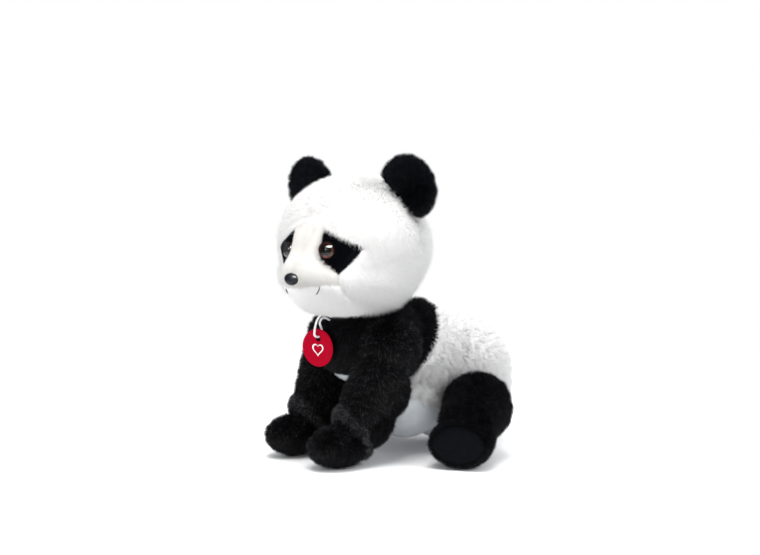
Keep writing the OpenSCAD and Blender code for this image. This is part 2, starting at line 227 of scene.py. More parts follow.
MAT = {}
for make, name, dark, light, *how in (
        (pile_material, "white_pile", (0.82, 0.82, 0.82), (0.97, 0.955, 0.94), dict(sheen=0.15, glow=0.6)),
        # face pile: its own cream tone, kept darker as painted shade where the lamps fall strongest on the face
        (pile_material, "cream_pile", (0.63, 0.615, 0.585), (0.745, 0.733, 0.71), dict(spec=0.08, sheen=0.1)),
        (pile_material, "chin_pile", (0.86, 0.86, 0.85), (0.97, 0.965, 0.955)),
        # black pile: the lighter tips on a few fibres are painted sheen
        (pile_material, "black_pile", (0.002, 0.002, 0.0025), (0.006, 0.006, 0.0075),
         dict(odd=(0.05, 0.052, 0.058), odd_from=0.92, rough=0.6, spec=0.14, sheen=0.02)),
        # brushed leg pile: the grey tips on a tenth of the fibres are painted sheen
        (pile_material, "brush_pile", (0.0015, 0.0015, 0.002), (0.0045, 0.0045, 0.0055),
         dict(odd=(0.13, 0.13, 0.14), odd_from=0.9, rough=0.6, spec=0.16, sheen=0.03)),
        # cuff ridge pile: grey tips on many fibres are painted sheen where the brushed pile stands up
        (pile_material, "ridge_pile", (0.002, 0.002, 0.0025), (0.008, 0.008, 0.009),
         dict(odd=(0.16, 0.16, 0.17), odd_from=0.62, rough=0.6, spec=0.16, sheen=0.03)),
        (pile_material, "patch_pile", (0.002, 0.002, 0.003), (0.0045, 0.0055, 0.009),
         dict(rough=0.6, spec=0.12, sheen=0.02)),
        # ear pile: the lighter tips on a few fibres are painted sheen
        (pile_material, "ear_pile", (0.002, 0.002, 0.0025), (0.0048, 0.0055, 0.0078),
         dict(odd=(0.05, 0.055, 0.065), odd_from=0.93, rough=0.6, spec=0.14, sheen=0.02)),
        # sole pile: the lighter tips on a few fibres are painted sheen
        (pile_material, "sole_pile", (0.0015, 0.0018, 0.0027), (0.0035, 0.0045, 0.0068),
         dict(odd=(0.014, 0.017, 0.024), odd_from=0.8, rough=0.6, spec=0.12, sheen=0.02)),
        # belly pile: a panel a little greyer than the white, darkened further to grey-blue as painted shade under the
        # belly
        (pile_material, "belly_pile", (0.60, 0.63, 0.67), (0.74, 0.77, 0.80)),
        (cloth_material, "white_cloth", (0.86, 0.86, 0.86), (0.94, 0.94, 0.935)),
        # belly cloth: a panel a little greyer than the white, darkened further to grey-blue as painted shade under the
        # belly
        (cloth_material, "belly_cloth", (0.66, 0.69, 0.73), (0.75, 0.78, 0.81), dict(scale=120, bump=0.2)),
        # face cloth: its own cream tone, kept darker as painted shade where the lamps fall strongest on the face
        (cloth_material, "cream_cloth", (0.65, 0.635, 0.605), (0.73, 0.715, 0.69), dict(spec=0.04, sheen=0.1)),
        (cloth_material, "chin_cloth", (0.90, 0.89, 0.875), (0.96, 0.95, 0.94)),
        (cloth_material, "black_cloth", (0.002, 0.002, 0.0025), (0.005, 0.005, 0.006), dict(sheen=0.0, spec=0.08)),
        (cloth_material, "patch_cloth", (0.002, 0.0025, 0.004), (0.005, 0.006, 0.009), dict(sheen=0.02, spec=0.1)),
        (cloth_material, "sole_cloth", (0.0015, 0.0018, 0.0027), (0.0035, 0.0042, 0.0065),
         dict(scale=260, bump=0.5, sheen=0.06)),
        (cloth_material, "stuffing", (0.85, 0.85, 0.84), (0.95, 0.95, 0.94), dict(scale=300, bump=0.8)),
        (cloth_material, "backing", (0.02, 0.02, 0.022), (0.05, 0.05, 0.055)),
        (hard_material, "eye_black", (0.0015, 0.0015, 0.0015), (0.003, 0.003, 0.003), dict(rough=0.3, spec=0.08)),
        (hard_material, "eye_brown", (0.020, 0.004, 0.002), (0.10, 0.020, 0.009),
         dict(rough=0.3, scale=900, spec=0.2)),
        (hard_material, "eye_clear", (0.98, 0.98, 0.98), (1, 1, 1),
         dict(rough=0.01, bump=0.0, transmission=1.0, rough_to=0.02)),
        (hard_material, "washer", (0.78, 0.78, 0.76), (0.86, 0.86, 0.85), dict(rough=0.5)),
        (hard_material, "nose_plastic", (0.003, 0.005, 0.008), (0.008, 0.011, 0.016),
         dict(rough=0.35, spec=0.25, bump=0.25, scale=900)),
        (cloth_material, "thread", (0.03, 0.028, 0.028), (0.09, 0.08, 0.08), dict(scale=2500, knit=3000)),
        (hard_material, "tag_red", (0.32, 0.0008, 0.013), (0.36, 0.001, 0.017),
         dict(rough=0.7, scale=300, bump=0.1, spec=0.06)),
        (hard_material, "tag_white", (0.86, 0.86, 0.86), (0.92, 0.92, 0.92), dict(rough=0.4, scale=300)),
        (cloth_material, "cord_white", (0.74, 0.74, 0.75), (0.92, 0.92, 0.92),
         dict(scale=1800, knit=2200, bump=0.8))):
    MAT[name] = make(name, dark, light, **(how[0] if how else {}))

# ---- mesh building ----

COLL = bpy.context.scene.collection


def add_mesh(name, co, faces, mat):
    me = bpy.data.meshes.new(name)
    me.from_pydata((np.asarray(co) * 0.001).tolist(), [], [tuple(int(i) for i in f) for f in faces])
    me.materials.append(MAT[mat])
    me.polygons.foreach_set("use_smooth", [True] * len(me.polygons))
    me.update()
    o = bpy.data.objects.new(name, me)
    COLL.objects.link(o)
    return o


def place(o, body, slot, *nodes):
    """The piece stands for those CAD nodes, if any, and moves with that body."""
    if nodes:
        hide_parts(*nodes)
    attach(o, body)


def ico(level):
    me = bpy.data.meshes.new("ico")
    bm = bmesh.new()
    bmesh.ops.create_icosphere(bm, subdivisions=level, radius=1.0)
    bm.to_mesh(me)
    bm.free()
    co = np.array([v.co for v in me.vertices])
    tri = np.array([p.vertices[:] for p in me.polygons])
    bpy.data.meshes.remove(me)
    return co, tri


ICO = ico(4)


def remeshed(balls, voxel, smooth):
    """One organic skin round ellipsoids (centre, radii, turn about z); returns points and quads."""
    cos, tris, k = [], [], 0
    for c, r, *a in balls:
        p = ICO[0] * np.asarray(r, float) * 1.004
        if a:
            p = p @ rot_z(a[0]).T
        cos.append(p + np.asarray(c, float))
        tris.append(ICO[1] + k)
        k += len(ICO[0])
    co, tri = np.concatenate(cos), np.concatenate(tris)
    me = bpy.data.meshes.new("tmp")
    me.from_pydata((co * 0.001).tolist(), [], tri.tolist())
    o = bpy.data.objects.new("tmp", me)
    COLL.objects.link(o)
    mod = o.modifiers.new("r", "REMESH")
    mod.mode, mod.voxel_size = "VOXEL", voxel * 0.001
    sm = o.modifiers.new("s", "SMOOTH")
    sm.factor, sm.iterations = 0.5, smooth
    ev = o.evaluated_get(bpy.context.evaluated_depsgraph_get())
    out = bpy.data.meshes.new_from_object(ev)
    co = np.empty(len(out.vertices) * 3)
    out.vertices.foreach_get("co", co)
    quads = np.array([list(p.vertices) for p in out.polygons])
    bpy.data.objects.remove(o)
    bpy.data.meshes.remove(me)
    bpy.data.meshes.remove(out)
    return co.reshape(-1, 3) * 1000, quads


def vertex_normals(co, quads):
    a, b = co[quads[:, 2]] - co[quads[:, 0]], co[quads[:, 3]] - co[quads[:, 1]]
    fn = np.cross(a, b)
    out = np.zeros_like(co)
    for k in range(4):
        np.add.at(out, quads[:, k], fn)
    return unit(out)


def relax(co, quads, weight, passes):
    """Each point moves toward the mean of its neighbours, scaled by its weight."""
    e = np.concatenate([quads[:, [k, (k + 1) % 4]] for k in range(4)])
    n = np.bincount(e[:, 0], minlength=len(co)) + np.bincount(e[:, 1], minlength=len(co))
    w = (0.5 * weight)[:, None]
    for _ in range(passes):
        m = np.stack([np.bincount(e[:, 0], co[e[:, 1], k], len(co)) + np.bincount(e[:, 1], co[e[:, 0], k], len(co))
                      for k in range(3)], 1) / n[:, None]
        co = co + w * (m - co)
    return co


def wobble(p, size, seed):
    """Smooth seeded field in three channels, about -1 to 1, from six waves."""
    r = np.random.default_rng(seed)
    out = np.zeros((len(p), 3))
    for _ in range(6):
        k = unit(r.normal(size=3)) * 2 * math.pi / (size * r.uniform(0.7, 1.5))
        ph, amp = r.uniform(0, 6.28, 3), unit(r.normal(size=3))
        out += amp * np.sin((p @ k)[:, None] + ph)
    return out / math.sqrt(6)


def seg_distance(q, poly):
    """Distance in a plane from points to a closed polyline, with the nearest points on it."""
    best = np.full(len(q), 1e9)
    near = np.array(q)
    n = len(poly)
    for i in range(n):
        a, b = np.array(poly[i], float), np.array(poly[(i + 1) % n], float)
        t = np.clip(((q - a) @ (b - a)) / ((b - a) @ (b - a)), 0, 1)
        f = a + t[:, None] * (b - a)
        d = np.linalg.norm(q - f, axis=1)
        hit = d < best
        best[hit], near[hit] = d[hit], f[hit]
    return best, near


def inside(q, poly):
    x, z = q[:, 0], q[:, 1]
    c = np.zeros(len(q), bool)
    for i in range(len(poly)):
        (x1, z1), (x2, z2) = poly[i], poly[(i + 1) % len(poly)]
        cross = (z1 > z) != (z2 > z)
        with np.errstate(divide="ignore", invalid="ignore"):
            xi = x1 + (z - z1) * (x2 - x1) / ((z2 - z1) or 1e-9)
        c ^= cross & (x < xi)
    return c


def piece(name, co, quads, pick, mat):
    """The faces that pick names, as their own object."""
    q = quads[pick]
    used, inv = np.unique(q, return_inverse=True)
    return add_mesh(name, co[used], inv.reshape(-1, 4), mat)


def groove(co, nrm, d, depth, width):
    return co - nrm * (depth * np.exp(-((d / width) ** 2)))[:, None]


# ---- the pile ----

def strands(name, skins, mat, count, length, width, lean, comb, seed,
            mask=None, spread=0.22, noise=0.35, noise_size=9, tuft=3.2, gather=0.35, jitter=0.25, soft=0.6):
    """Fibres as thin three-sided cones rooted in the skins, leaning with comb(points, normals)."""
    r = np.random.default_rng(seed)
    P, N = [], []
    for o in skins:
        me = o.data
        me.calc_loop_triangles()
        v = np.empty(len(me.vertices) * 3)
        me.vertices.foreach_get("co", v)
        v = v.reshape(-1, 3) * 1000
        nv = np.empty(len(me.vertices) * 3)
        me.vertices.foreach_get("normal", nv)
        t = np.empty(len(me.loop_triangles) * 3, int)
        me.loop_triangles.foreach_get("vertices", t)
        t = t.reshape(-1, 3)
        P.append(v[t])
        N.append(nv.reshape(-1, 3)[t])
    P, N = np.concatenate(P), np.concatenate(N)
    area = np.linalg.norm(np.cross(P[:, 1] - P[:, 0], P[:, 2] - P[:, 0]), axis=1)
    if mask is not None:
        area = area * mask(P.mean(1), unit(N.mean(1)))
    pick = r.choice(len(P), size=count, p=area / area.sum())
    u, w = r.random((2, count))
    flip = u + w > 1
    u[flip], w[flip] = 1 - u[flip], 1 - w[flip]
    bary = np.stack([1 - u - w, u, w], 1)[:, :, None]
    root, n = (P[pick] * bary).sum(1), unit((N[pick] * bary).sum(1))
    t = comb(root, n)
    t = unit(t - n * (t * n).sum(1, keepdims=True))
    a = (lean(root) if callable(lean) else lean) + r.normal(0, spread, count)
    d = n * np.cos(a)[:, None] + t * np.sin(a)[:, None]
    d = d + noise * wobble(root, noise_size, seed + 1) + r.normal(0, 0.16, (count, 3))
    d = unit(d)
    back = (d * n).sum(1, keepdims=True)
    d = unit(np.where(back < 0.15, d + n * (0.15 - back) * 1.5, d))
    ln = length(root) if callable(length) else length
    L = ln * (1 + jitter * (r.random(count) - 0.6))
    tip = root + d * np.reshape(L, (-1, 1))
    if gather:
        cell = np.floor((root + wobble(root, 7, seed + 2) * 1.5) / tuft).astype(np.int64)
        key = cell @ np.array([73856093, 19349663, 83492791])
        _, inv = np.unique(key, return_inverse=True)
        m = np.stack([np.bincount(inv, tip[:, k]) for k in range(3)], 1) / np.bincount(inv)[:, None]
        g = gather * r.uniform(0.3, 1.0, (count, 1))
        tip = tip * (1 - g) + m[inv] * g
    tip[:, 2] = np.maximum(tip[:, 2], FLOOR)
    root = root - n * 0.5
    d = unit(tip - root)
    e1 = unit(np.cross(d, r.normal(size=(count, 3))))
    e2 = np.cross(d, e1)
    wd = width * r.uniform(0.7, 1.2, (count, 1))
    co, nr = np.empty((count, 4, 3)), np.empty((count, 4, 3))
    for k in range(3):
        ang = 2 * math.pi * k / 3
        rad = math.cos(ang) * e1 + math.sin(ang) * e2
        co[:, k] = root + rad * wd * 0.5
        nr[:, k] = unit(n * soft + rad * (1 - soft))
    co[:, 3] = tip
    nr[:, 3] = unit(n * soft + d * (1 - soft) * 0.5)
    me = bpy.data.meshes.new(name)
    me.vertices.add(count * 4)
    me.vertices.foreach_set("co", (co * 0.001).astype(np.float32).ravel())
    f = np.array([[0, 1, 3], [1, 2, 3], [2, 0, 3], [0, 2, 1]])
    loops = (f[None] + 4 * np.arange(count)[:, None, None]).reshape(-1)
    me.loops.add(len(loops))
    me.loops.foreach_set("vertex_index", loops.astype(np.int32))
    me.polygons.add(count * 4)
    me.polygons.foreach_set("loop_start", np.arange(0, count * 12, 3, dtype=np.int32))
    me.polygons.foreach_set("use_smooth", np.ones(count * 4, bool))
    me.update(calc_edges=True)
    uv = me.uv_layers.new(name="OFBake")
    col = r.integers(0, 64, count) / 64
    uw = 1 / 64
    pat = np.array([[[0, 0], [uw, 0], [uw / 2, 1]]] * 3 + [[[0, 0], [uw / 2, 0.06], [uw, 0]]])
    uvs = np.broadcast_to(pat[None], (count, 4, 3, 2)).copy()
    uvs[..., 0] += col[:, None, None]
    uv.data.foreach_set("uv", uvs.astype(np.float32).ravel())
    me.normals_split_custom_set_from_vertices(nr.reshape(-1, 3).tolist())
    me.materials.append(MAT[mat])
    o = bpy.data.objects.new(name, me)
    COLL.objects.link(o)
    return o


# ---- head ----

FACE = [(-28.5, -48), (-28.5, -19), (-14.5, -8.5), (-13.2, -3.5), (-14.5, 16.5), (0, 21.5),
        (14.5, 16.5), (13.2, -3.5), (14.5, -8.5), (28.5, -19), (28.5, -48)]
PATCH = {1: [(14.5, 16.5), (44, 1.5), (28.5, -19), (14.5, -8.5), (13.2, -3.5)]}
PATCH[-1] = [(-x, z) for x, z in PATCH[1]]
MOUTH_Z = -27.0


def less(r, t):
    return [v - t for v in r]


co, quads = remeshed([((0, 0, 0), less((67, 57, 57), LONG)), ((0, -9, -23), less((61, 53.5, 29.5), LONG)),
                      ((0, -51.5, -19), less((23.5, 22, 20), SHORT)), ((0, -43, 12), (13, 9, 12)),
                      ((0, -45.5, 2), (13.5, 13, 13)), ((0, -47, -9), (16.5, 16, 14))],
                     1.7, 8)
co = relax(co, quads, np.clip((co[:, 1] + 50) / 14, 0, 1), 60)
near_nose = np.exp(-(np.linalg.norm(co - NOSE_AT, axis=1) / 13) ** 2)
snout = np.clip((46 - np.abs(co[:, 0])) / 14, 0, 1) * np.clip((-co[:, 1] - 24) / 14, 0, 1)
co = relax(co, quads, snout * (1 - 0.8 * near_nose), 40)
front = co[:, 1] < -22
for poly in (FACE, PATCH[1], PATCH[-1]):
    d, near = seg_distance(co[:, [0, 2]], poly)
    snap = front & (d < 0.8)
    co[snap, 0], co[snap, 2] = near[snap, 0], near[snap, 1]
nrm = vertex_normals(co, quads)
xz = co[:, [0, 2]]
d_face = seg_distance(xz, FACE)[0]
d_patch = np.minimum(seg_distance(xz, PATCH[1])[0], seg_distance(xz, PATCH[-1])[0])
d_seam = np.where(front, np.minimum(d_face, d_patch), 99)
in_short = front & (inside(xz, FACE) | inside(xz, PATCH[1]) | inside(xz, PATCH[-1]))
near_form = np.minimum(np.linalg.norm(co / (62, 52, 52), axis=1),
                       np.linalg.norm((co - (0, -8, -23)) / (55, 47, 24), axis=1))
lift = 1.5 * np.clip((1.2 - near_form) / 0.16, 0, 1) * (1 - np.exp(-(np.minimum(d_seam, 20) / 2.2) ** 2))
lift = np.where(in_short, lift, 0)       # the short panels stand up to the long pile beside them
co = co + nrm * lift[:, None]
co = groove(co, nrm, d_seam, 1.1, 1.6)
co = groove(co, nrm, np.where(co[:, 1] < -40, np.abs(co[:, 2] - MOUTH_Z), 99), 0.5, 1.4)
for s in (1, -1):                        # the eye pulls its patch in
    e = co - EYE_AT[s]
    co = groove(co, nrm, np.linalg.norm(e[:, [0, 2]], axis=1) + np.where(co[:, 1] < -30, 0, 99), 0.8, 8)
mid = co[quads].mean(1)
face_in = (mid[:, 1] < -22) & inside(mid[:, [0, 2]], FACE)
patch_in = {s: (mid[:, 1] < -22) & inside(mid[:, [0, 2]], PATCH[s]) for s in (1, -1)}
co_w = head_out(co)
head_skin = piece("head_skin", co_w, quads, ~(face_in | patch_in[1] | patch_in[-1]), "white_cloth")
face_skin = piece("face_skin", co_w, quads, face_in & (mid[:, 2] >= MOUTH_Z), "cream_cloth")
chin_skin = piece("chin_skin", co_w, quads, face_in & (mid[:, 2] < MOUTH_Z), "chin_cloth")
patch_skin = {s: piece("patch_skin_" + w, co_w, quads, patch_in[s], "patch_cloth") for s, w in SIDES}


def head_comb(p, n):
    """Forward and down from a parting behind the ears, swept back on the cheeks."""
    q = head_in(p)
    cheek = np.clip((np.abs(q[:, 0]) - 18) / 25, 0, 1) * np.clip((14 - q[:, 2]) / 25, 0, 1)
    part = np.clip((24 - q[:, 1]) / 14, -1, 1)
    out = np.stack([0.5 * q[:, 0] / 60, -0.6 * part + 1.1 * cheek, -0.8 + 0.35 * cheek], 1)
    return out @ HEAD_ROT.T


def head_lean(p):
    q = head_in(p)
    top = np.clip(q[:, 2] / 30, 0, 1)
    part = np.clip(np.abs(q[:, 1] - 24) / 18, 0, 1)
    return 0.97 - 0.6 * top * (1 - part) - 0.5 * np.clip((-q[:, 2] - 30) / 14, 0, 1)


def off_ears(p, n):
    """No head pile under the ear seams or round the neck."""
    keep = np.ones(len(p))
    for s in (1, -1):
        q = ear_in(s, p)
        keep[(np.abs(q[:, 1]) < 3.2) & (np.abs(q[:, 0]) < 20) & (q[:, 2] > 40)] = 0
    q = head_in(p)
    keep[(q[:, 2] < -45) & (np.hypot(q[:, 0], q[:, 1]) < 24)] = 0
    return keep


def hem(q):
    """The cover's lower edge hangs over the collar."""
    return 3.0 * np.clip((-q[:, 2] - 34) / 10, 0, 1)


def brow_length(p):
    q = head_in(p)
    d = np.minimum(seg_distance(q[:, [0, 2]], PATCH[1])[0], seg_distance(q[:, [0, 2]], PATCH[-1])[0])
    near = np.exp(-(d / 7) ** 2) * (q[:, 1] < -22)
    below = (q[:, 2] < -2)
    return 8.0 + hem(q) - near * np.where(below, 4.5, 1.6) - 2.2 * (q[:, 2] < -25) * np.clip((-q[:, 1] - 15) / 20, 0, 1)


def front_half(p, n):
    return off_ears(p, n) * (head_in(p)[:, 1] < -4)


def back_half(p, n):
    return off_ears(p, n) * (head_in(p)[:, 1] >= -4)


W = dict(noise=0.13, noise_size=13, tuft=3.0, gather=0.35, soft=0.82)
head_pile_front = strands("head_pile_front", [head_skin], "white_pile", 44000, brow_length, 0.5,
                          head_lean, head_comb, 11, mask=front_half, **W)
head_pile_back = strands("head_pile_back", [head_skin], "white_pile", 40000, lambda p: 8.0 + hem(head_in(p)), 0.55,
                         head_lean, head_comb, 12, mask=back_half, **W)


def face_comb(p, n):
    q = head_in(p)
    return np.stack([0.9 * q[:, 0] / 20, 0.8 + 0 * q[:, 0], 0.25 * (q[:, 2] + 20) / 20], 1) @ HEAD_ROT.T


def off_hardware(p, n):
    q = head_in(p)
    keep = (np.linalg.norm((q - NOSE_AT - np.array([0, 3, 0])) / np.array([6.4, 8, 4.8]), axis=1) > 1).astype(float)
    for s in (1, -1):
        e = q - EYE_AT[s]
        keep[np.linalg.norm(e, axis=1) < 7.0] = 0
    return keep


face_pile = strands("face_pile", [face_skin], "cream_pile", 30000, 3.2, 0.32, 0.8, face_comb, 13,
                    mask=off_hardware, noise=0.25, noise_size=5, tuft=1.6, gather=0.25, soft=0.8)
chin_pile = strands("chin_pile", [chin_skin], "chin_pile", 20000, lambda p: 3.6 + 1.8 * hem(head_in(p)), 0.4,
                    lambda p: 0.85 - 0.55 * np.clip((-head_in(p)[:, 2] - 34) / 10, 0, 1), face_comb, 14,
                    mask=off_hardware, noise=0.3, noise_size=6, tuft=2.2, gather=0.3, soft=0.75)


def patch_comb(p, n):
    q = head_in(p)
    return np.stack([np.sign(q[:, 0]) * 0.8, 0.4 + 0 * q[:, 0], -0.5 + 0 * q[:, 0]], 1) @ HEAD_ROT.T


patch_pile = {}
for s, w in SIDES:
    patch_pile[s] = strands("patch_pile_" + w, [patch_skin[s]], "patch_pile", 9000, 2.0, 0.36, 0.9, patch_comb, 15 + s,
                            mask=off_hardware, noise=0.15, noise_size=6, tuft=1.6, gather=0.2)

for o, nodes in ((head_skin, ["head_cover"]), (face_skin, ["face_panel"]), (chin_skin, ["chin_panel"]),
                 (patch_skin[1], ["eye_patch_left"]), (patch_skin[-1], ["eye_patch_right"])):
    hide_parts(*nodes)
for o, sl in ((head_skin, "white_pile"), (head_pile_front, "white_pile"), (head_pile_back, "white_pile"),
              (face_skin, "cream_short"), (face_pile, "cream_short"),
              (chin_skin, "white_short"), (chin_pile, "white_short"),
              *[(x, "patch_short") for x in (*patch_skin.values(), *patch_pile.values())]):
    place(o, "head", sl)
for o in (head_pile_front, head_pile_back, face_pile, chin_pile):
    o.visible_shadow = False             # white fibres pass light on to one another
for o in (head_skin, head_pile_front, head_pile_back, face_skin, face_pile):
    o.visible_glossy = o.visible_transmission = False    # the eyes show the floor and the window, not the brow


# ---- turned parts: eyes and nose ----

def lathe(profile, steps=48):
    """Points and faces of a profile of (radius, height) turned about +Z."""
    prof = np.asarray(profile, float)
    ang = np.linspace(0, 2 * math.pi, steps, endpoint=False)
    pts, faces, rows = [], [], []
    for r, z in prof:
        if r < 1e-6:
            rows.append([len(pts)])
            pts.append([0, 0, z])
        else:
            rows.append(list(range(len(pts), len(pts) + steps)))
            pts += [[r * math.cos(a), r * math.sin(a), z] for a in ang]
    for a, b in zip(rows[:-1], rows[1:]):
        for k in range(steps):
            j = (k + 1) % steps
            if len(a) == 1 and len(b) > 1:
                faces.append((a[0], b[j], b[k]))
            elif len(a) > 1 and len(b) == 1:
                faces.append((a[k], a[j], b[0]))
            elif len(a) > 1:
                faces.append((a[k], a[j], b[j], b[k]))
    return np.array(pts), faces


R_EYE, RISE = 6.7, 4.2
RHO = (R_EYE ** 2 + RISE ** 2) / (2 * RISE)
dome = [(0, 1.92), (5.8, 1.92), (6.6, 1.93)]
top = math.asin(R_EYE / RHO)
dome += [(RHO * math.sin(a), 1.9 + RISE - RHO + RHO * math.cos(a)) for a in np.linspace(top, 0, 14)]
dome[-1] = (0, 1.9 + RISE)
back = [(0, -13), (1.8, -13), (2, -12.8), (2, -0.4), (2.4, 0.05), (6.3, 0.1), (6.65, 0.25), (6.7, 0.7),
        (6.55, 1.2), (3.6, 1.3), (3.5, 1.4), (3.45, 1.8), (3.3, 1.86), (0, 1.86)]
iris = [(3.62, 1.36), (6.45, 1.36), (6.5, 1.45), (6.45, 1.8), (6.2, 1.86), (4.0, 1.84), (3.7, 1.8),
        (3.62, 1.7), (3.62, 1.36)]
for s, w in SIDES:
    for nm, prof, mat, node in (("eye_dome_", dome, "eye_clear", "eye_cap_"),
                                ("eye_pupil_", back, "eye_black", "eye_back_"),
                                ("eye_ring_", iris, "eye_brown", "eye_iris_")):
        p, f = lathe(prof)
        place(add_mesh(nm + w, eye_out(s, p), f, mat), "head", mat, node + w)

NOSE_R = (6.5, 4.5, 4.8)
arc = [(NOSE_R[2] * math.sin(a), NOSE_R[2] * math.cos(a)) for a in np.linspace(0.14, math.pi - 0.14, 22)]
p, f = lathe([(0, NOSE_R[2]), *arc, (0, -NOSE_R[2])])
p = p * np.array([NOSE_R[0] / NOSE_R[2], NOSE_R[1] / NOSE_R[2], 1.0])
p[:, 0] *= 1 + 0.10 * p[:, 2] / NOSE_R[2]                # a little wider above
p[:, 1] -= 0.35 * np.clip(p[:, 2] / NOSE_R[2], 0, 1) * (p[:, 1] < 0)
n_body = len(p)
q, g = lathe([(0, 15), (1.8, 15), (2, 14.7), (2, 2), (0, 2)], 24)
q = q @ np.array([[1, 0, 0], [0, 0, -1.0], [0, 1, 0]])
q[:, 1] = np.abs(q[:, 1])
p = np.concatenate([p, q]) + NOSE_AT
f += [tuple(i + n_body for i in t) for t in g]
place(add_mesh("nose_button", head_out(p), f, "nose_plastic"), "head", "nose_plastic", "nose")


# ---- mouth stitches: three threads side by side at each corner ----

def tube(path, radius, sides=8):
    """A closed tube along points; returns points and faces."""
    path = np.asarray(path, float)
    t = unit(np.gradient(path, axis=0))
    up = np.array([1.0, 0, 0]) if abs(t[0][0]) < 0.9 else np.array([0, 1.0, 0])
    pts, rows = [], []
    for i, (c, h) in enumerate(zip(path, t)):
        up = unit(up - h * (up @ h))
        e2 = np.cross(h, up)
        k = radius if np.isscalar(radius) else radius[i]
        rows.append(list(range(len(pts), len(pts) + sides)))
        pts += [c + k * (math.cos(a) * up + math.sin(a) * e2)
                for a in np.linspace(0, 2 * math.pi, sides, endpoint=False)]
    faces = [(a[k], a[(k + 1) % sides], b[(k + 1) % sides], b[k])
             for a, b in zip(rows[:-1], rows[1:]) for k in range(sides)]
    faces += [tuple(rows[0][::-1]), tuple(rows[-1])]
    return np.array(pts), faces


pts, faces = [], []
for s in (1, -1):
    for off in (-0.28, 0.0, 0.28):
        tt = np.linspace(-1, 1, 13)
        path = np.stack([s * (17.0 + 1.3 * (0.5 - tt * tt) + 1.1 * tt + off),
                         -58.75 - 0.35 * np.cos(tt * 1.5) + 0.95 * tt, -30.6 + 3.3 * tt], 1)
        p, f = tube(path, 0.24 * np.sqrt(np.clip(1.02 - tt ** 4, 0.05, 1)))
        k = sum(len(x) for x in pts)
        pts.append(p)
        faces += [tuple(i + k for i in t) for t in f]
place(add_mesh("mouth_thread", head_out(np.concatenate(pts)), faces, "thread"), "head", "thread", "mouth_stitches")

# ---- ears ----

for s, w in SIDES:
    co, quads = remeshed([((0, 0, 68), (22, 5, 22)), ((0, 0, 61.5), (20, 4.8, 4.8))], 1.7, 5)
    low = co[:, 2] < 58
    co[low, 2] = 58 + (co[low, 2] - 58) * 0.12
    rad = np.hypot(co[:, 0], co[:, 2] - 70)
    co[:, 1] += np.where(co[:, 1] < 0, 1.6, 0.9) * np.clip(1 - (rad / 19) ** 2, 0, 1) - 0.5   # cupped forward
    front = vertex_normals(co, quads)[quads].mean(1)[:, 1] < 0
    cw = ear_out(s, co)
    sk = {"front": piece("ear_front_skin_" + w, cw, quads, front, "black_cloth"),
          "back": piece("ear_back_skin_" + w, cw, quads, ~front, "black_cloth")}

    def ear_comb(p, n):
        q = ear_in(s, p)
        out = np.stack([q[:, 0], 0 * q[:, 0], q[:, 2] - 60], 1)
        return out @ EAR_ROT[s].T @ HEAD_ROT.T

    for side, sd in (("front", 0), ("back", 1)):
        pile = strands(f"ear_{side}_pile_{w}", [sk[side]], "ear_pile", 11000, 7.0, 0.46, 0.75, ear_comb,
                       30 + 2 * s + sd,
                       mask=lambda p, n: (ear_in(s, p)[:, 2] > 59.5).astype(float),
                       noise=0.3, noise_size=8, tuft=2.6, gather=0.35)
        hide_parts(f"ear_{side}_{w}")
        for o in (sk[side], pile):
            place(o, w + "_ear", "ear_pile")

# ---- torso ----

co, quads = remeshed([(CHEST, less((46, 44, 42), LONG)), (LOIN, less((48, 48, 49), LONG)),
                      (RUMP, less((52, 53, 58), LONG)), (T + (0, 14, 44), less((44, 40, 38), LONG))], 2.2, 8)
YOKE_RAKE, BELLY_RAKE = math.radians(35), math.radians(29)


def yoke_side(p):
    """Signed distances: over the yoke's floor, and in front of its raked back edge."""
    q = p - T
    return q[:, 2] - 68, (q[:, 2] - 59) * math.sin(YOKE_RAKE) - (q[:, 1] + 7) * math.cos(YOKE_RAKE)


def belly_side(p):
    """Signed height over the belly seam."""
    q = p - T
    return (q[:, 2] - 50) * math.cos(BELLY_RAKE) + q[:, 1] * math.sin(BELLY_RAKE)


a, b = yoke_side(co)
c = belly_side(co)
nrm = vertex_normals(co, quads)
d_seam = np.minimum(np.where(a > -2, np.abs(b), 99), np.where(b > -2, np.abs(a), 99))
d_seam = np.minimum(d_seam, np.where(np.minimum(a, b) < 2, np.abs(c), 99))
co = groove(co, nrm, d_seam, 1.0, 2.4)
co = co + nrm * (0.7 * wobble(co, 26, 5)[:, :1])
co[:, 2] = np.maximum(co[:, 2], 0.5 + 0.25 * np.abs(wobble(co, 14, 6)[:, 0]))
for s in (1, -1):                        # the belly tucks in beside the thigh
    e = co - (T + (s * 46, 22, 22))
    co = groove(co, nrm, np.linalg.norm(e * (1, 0.8, 0.6), axis=1), 2.5, 16)
mid = co[quads].mean(1)
a, b = yoke_side(mid)
c = belly_side(mid)
yoke = (a > 0) & (b > 0)
belly = ~yoke & (c < 0)
skin = {"yoke": piece("yoke_skin", co, quads, yoke, "black_cloth"),
        "belly": piece("belly_skin", co, quads, belly, "belly_cloth"),
        "body": piece("body_skin", co, quads, ~yoke & ~belly, "white_cloth")}


def off_body(*balls):
    """Mask: no pile where another padded part presses."""
    def mask(p, n):
        keep = np.ones(len(p))
        for c, r in balls:
            keep[np.linalg.norm((p - np.asarray(c)) / np.asarray(r, float), axis=1) < 1] = 0
        return keep * (p[:, 2] > 1.6)
    return mask


def combed(*way):
    """Comb the whole pile one way."""
    return lambda p, n: np.tile(way, (len(p), 1))


LEG_BALLS = (((36, -24, 90), (19, 23, 23)), ((50, 54, 42), (20, 20, 20)), ((64, 41, 41), (25, 25, 25)))
cover_mask = off_body(HEAD_BALL, *((at(s, *c), r) for c, r in LEG_BALLS for s in (1, -1)))


